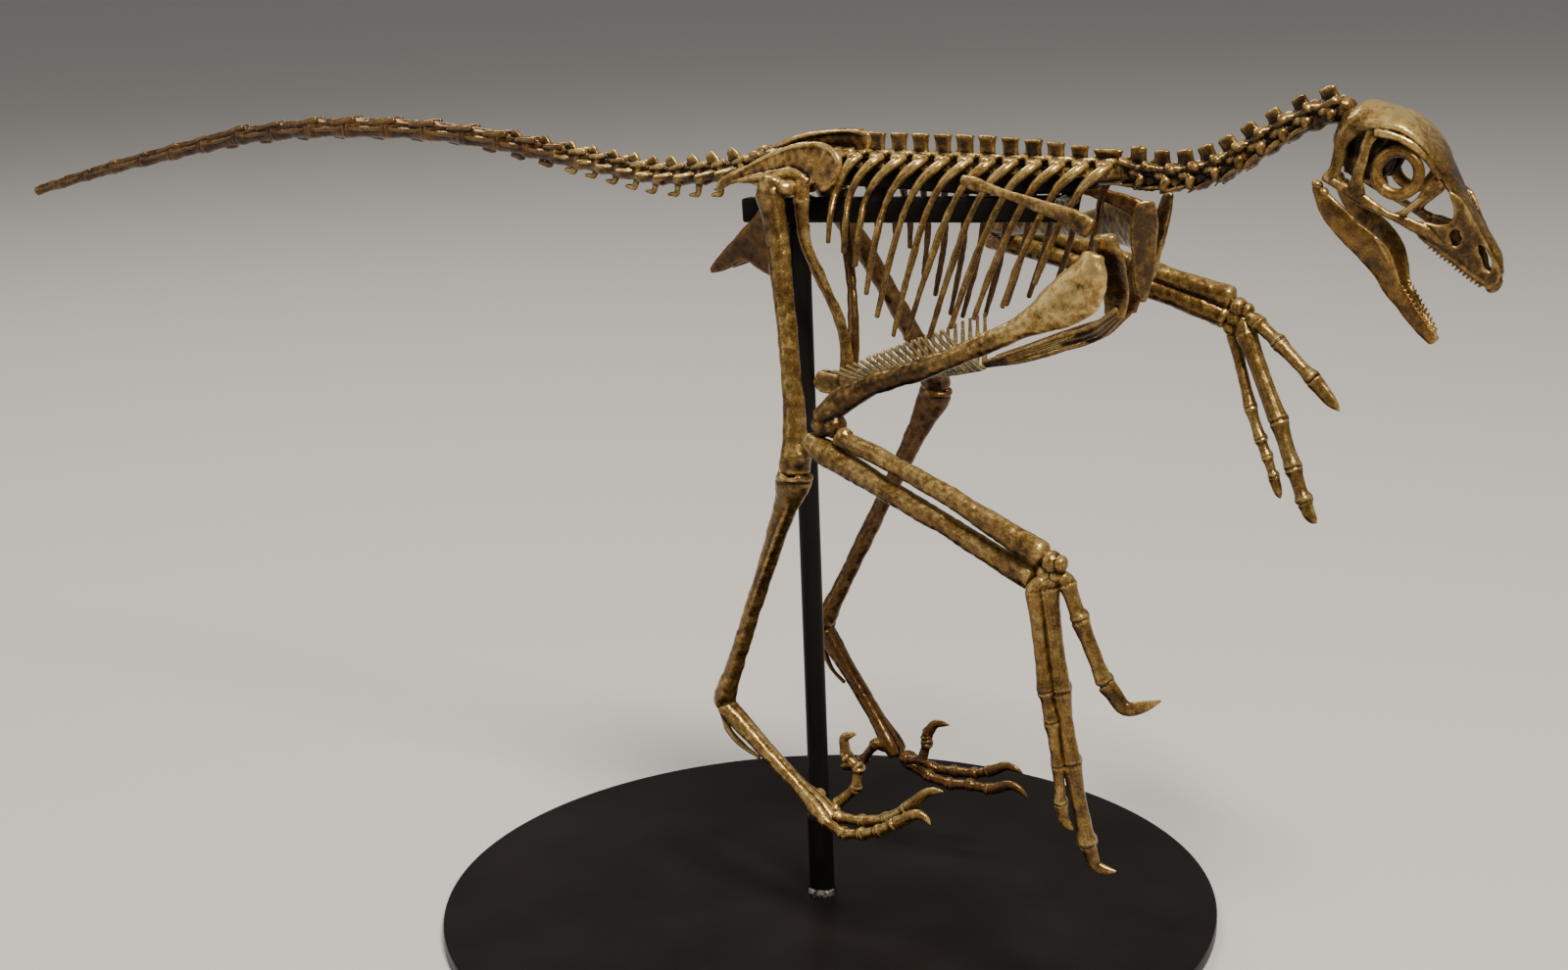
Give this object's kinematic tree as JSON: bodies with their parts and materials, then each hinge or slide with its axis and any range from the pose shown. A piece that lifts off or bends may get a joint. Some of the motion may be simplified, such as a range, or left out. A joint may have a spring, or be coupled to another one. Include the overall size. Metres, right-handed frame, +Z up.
{
  "type": "mounted dinosaur skeleton",
  "caption": "Small feathered-dinosaur skeleton posed in mid stride with jaws open, held by a rod and bars on a round black base.",
  "frame": {"origin": "centre of the round base's underside, where it rests on the floor", "axes": "+X to the skull's end, +Y to the animal's left, +Z up"},
  "size_m": [0.3268, 0.152, 0.1644],
  "materials": {
    "bone": "satin cast resin, mottled brown and ochre patina with dark crevices",
    "black_paint": "semi-gloss black paint on steel"
  },
  "bodies": {
    "root": {"coracoid_left": "bone", "coracoid_right": "bone", "eye_ring_left": "bone", "eye_ring_right": "bone", "femur_left": "bone", "femur_right": "bone", "finger_1_left": "bone", "finger_1_right": "bone", "finger_2_left": "bone", "finger_2_right": "bone", "finger_3_left": "bone", "finger_3_right": "bone", "furcula": "bone", "gastralia_left": "bone", "gastralia_right": "bone", "humerus_left": "bone", "humerus_right": "bone", "ilium_left": "bone", "ilium_right": "bone", "ischium_left": "bone", "ischium_right": "bone", "mandible": "bone", "metatarsus_left": "bone", "metatarsus_right": "bone", "neck_base": "bone", "neck_front": "bone", "pubis_left": "bone", "pubis_right": "bone", "radius_left": "bone", "radius_right": "bone", "sacrum": "bone", "scapula_left": "bone", "scapula_right": "bone", "skull": "bone", "stand_bar": "black_paint", "stand_base": "black_paint", "stand_rod": "black_paint", "stand_spine_strip": "black_paint", "sternal_plate_left": "bone", "sternal_plate_right": "bone", "tail_base": "bone", "tail_middle": "bone", "tail_tip": "bone", "thorax_left": "bone", "thorax_right": "bone", "tibia_left": "bone", "tibia_right": "bone", "toe_1_left": "bone", "toe_1_right": "bone", "toe_2_left": "bone", "toe_2_right": "bone", "toe_3_left": "bone", "toe_3_right": "bone", "toe_4_left": "bone", "toe_4_right": "bone", "ulna_left": "bone", "ulna_right": "bone", "wrist_left": "bone", "wrist_right": "bone"}
  },
  "joints": []
}
